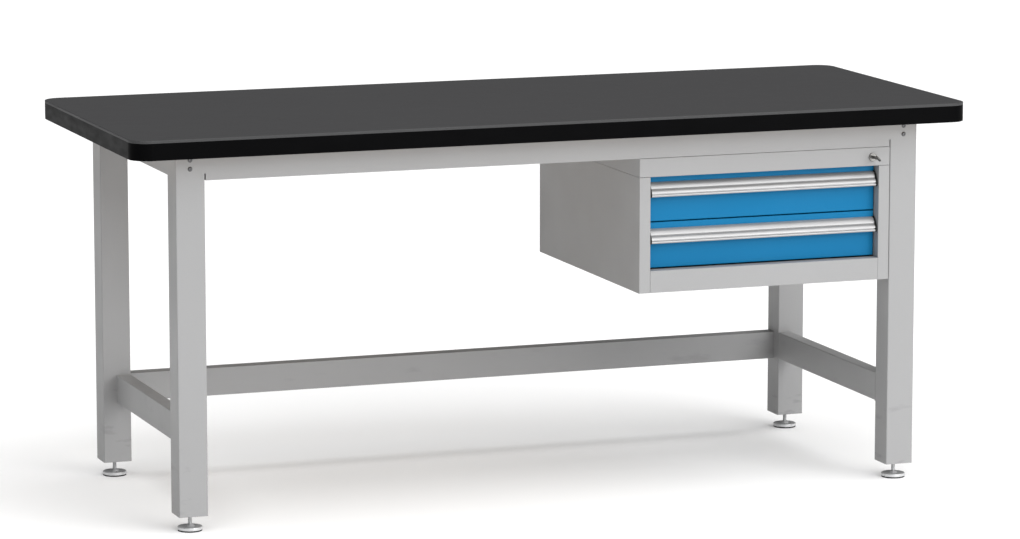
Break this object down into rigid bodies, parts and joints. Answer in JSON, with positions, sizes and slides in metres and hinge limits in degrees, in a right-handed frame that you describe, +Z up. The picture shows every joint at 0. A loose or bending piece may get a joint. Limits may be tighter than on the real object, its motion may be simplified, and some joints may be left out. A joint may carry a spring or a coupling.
{
  "type": "workbench",
  "caption": "Steel-frame workbench with a thick dark worktop, screw feet and a hung, lockable cabinet of sliding drawers at the right.",
  "frame": {"origin": "on the floor, under the centre of the worktop", "axes": "+X to the right along the worktop's length, +Y to the rear, +Z up; the drawers open towards -Y"},
  "size_m": [1.8, 0.73, 0.8],
  "materials": {
    "worktop_laminate": "fine matte charcoal laminate",
    "edge_band": "smooth near-black edge",
    "board_core": "raw particle board",
    "frame_paint": "light grey powder coat",
    "tray_paint": "light grey powder coat",
    "drawer_paint": "blue powder coat",
    "aluminium_profile": "satin drawn profile",
    "cap_plastic": "moulded black",
    "foot_zinc": "bright zinc plate",
    "foot_rubber": "moulded black rubber",
    "zinc_steel": "zinc plate",
    "slide_zinc": "rolled zinc-plated sheet",
    "lock_nickel": "satin nickel",
    "key_nickel": "nickel plate, worn"
  },
  "bodies": {
    "frame": {"apron_front": "frame_paint", "apron_rear": "frame_paint", "apron_screws": "zinc_steel", "cabinet_back": "frame_paint", "cabinet_floor": "frame_paint", "cabinet_side_left": "frame_paint", "cabinet_side_right": "frame_paint", "cabinet_sill": "frame_paint", "cabinet_top_housing": "frame_paint", "corner_plates": "frame_paint", "hanger_screws": "zinc_steel", "hanger_straps": "frame_paint", "leg_end_plugs": "zinc_steel", "leg_front_left": "frame_paint", "leg_front_right": "frame_paint", "leg_rear_left": "frame_paint", "leg_rear_right": "frame_paint", "lock_housing": "lock_nickel", "lower_drawer_slide_outer": "slide_zinc", "rear_stringer": "frame_paint", "side_rail_low_left": "frame_paint", "side_rail_low_right": "frame_paint", "side_rail_top_left": "frame_paint", "side_rail_top_right": "frame_paint", "slide_posts": "tray_paint", "stringer_screws": "zinc_steel", "upper_drawer_slide_outer": "slide_zinc", "worktop_board": "board_core", "worktop_edge_band": "edge_band", "worktop_screws": "zinc_steel", "worktop_surface": "worktop_laminate"},
    "upper_drawer": {"upper_drawer_front": "drawer_paint", "upper_drawer_handle": "aluminium_profile", "upper_drawer_handle_caps": "cap_plastic", "upper_drawer_slide_inner": "slide_zinc", "upper_drawer_tray": "tray_paint"},
    "lower_drawer": {"lower_drawer_front": "drawer_paint", "lower_drawer_handle": "aluminium_profile", "lower_drawer_handle_caps": "cap_plastic", "lower_drawer_slide_inner": "slide_zinc", "lower_drawer_tray": "tray_paint"},
    "upper_middle_slides": {"upper_drawer_slide_middle": "slide_zinc"},
    "lower_middle_slides": {"lower_drawer_slide_middle": "slide_zinc"},
    "lock_plug": {"lock_plug": "lock_nickel", "lock_cam": "zinc_steel"},
    "key": {"key": "key_nickel"},
    "lock_bar": {"lock_bar": "zinc_steel"},
    "foot_front_left": {"foot_front_left_base": "foot_zinc", "foot_front_left_pad": "foot_rubber", "foot_front_left_stud": "foot_zinc"},
    "foot_front_right": {"foot_front_right_base": "foot_zinc", "foot_front_right_pad": "foot_rubber", "foot_front_right_stud": "foot_zinc"},
    "foot_rear_left": {"foot_rear_left_base": "foot_zinc", "foot_rear_left_pad": "foot_rubber", "foot_rear_left_stud": "foot_zinc"},
    "foot_rear_right": {"foot_rear_right_base": "foot_zinc", "foot_rear_right_pad": "foot_rubber", "foot_rear_right_stud": "foot_zinc"}
  },
  "joints": [
    {"name": "upper_drawer_slide", "type": "slide", "parent": "frame", "child": "upper_drawer", "axis": [0, -1, 0], "range_m": [0, 0.46]},
    {"name": "lower_drawer_slide", "type": "slide", "parent": "frame", "child": "lower_drawer", "axis": [0, -1, 0], "range_m": [0, 0.46]},
    {"name": "upper_middle_slide", "type": "slide", "parent": "frame", "child": "upper_middle_slides", "axis": [0, -1, 0], "range_m": [0, 0.23]},
    {"name": "lower_middle_slide", "type": "slide", "parent": "frame", "child": "lower_middle_slides", "axis": [0, -1, 0], "range_m": [0, 0.23]},
    {"name": "lock_turn", "type": "hinge", "parent": "frame", "child": "lock_plug", "pos_m": [0.702, -0.319, 0.689], "axis": [0, -1, 0], "range_deg": [0, 90]},
    {"name": "lock_bar_lift", "type": "slide", "parent": "frame", "child": "lock_bar", "axis": [0, 0, 1], "range_m": [0, 0.01272]},
    {"name": "key_pull", "type": "slide", "parent": "lock_plug", "child": "key", "axis": [0, -1, 0], "range_m": [0, 0.03]},
    {"name": "foot_front_left_height", "type": "slide", "parent": "frame", "child": "foot_front_left", "axis": [0, 0, 1], "range_m": [-0.025, 0.012]},
    {"name": "foot_front_right_height", "type": "slide", "parent": "frame", "child": "foot_front_right", "axis": [0, 0, 1], "range_m": [-0.025, 0.012]},
    {"name": "foot_rear_left_height", "type": "slide", "parent": "frame", "child": "foot_rear_left", "axis": [0, 0, 1], "range_m": [-0.025, 0.012]},
    {"name": "foot_rear_right_height", "type": "slide", "parent": "frame", "child": "foot_rear_right", "axis": [0, 0, 1], "range_m": [-0.025, 0.012]}
  ],
  "couplings": [
    {"joint": "upper_middle_slide", "follows": "upper_drawer_slide", "ratio": 0.5},
    {"joint": "lower_middle_slide", "follows": "lower_drawer_slide", "ratio": 0.5},
    {"joint": "lock_turn", "follows": "lock_bar_lift", "rad_per_m": 123.4}
  ]
}
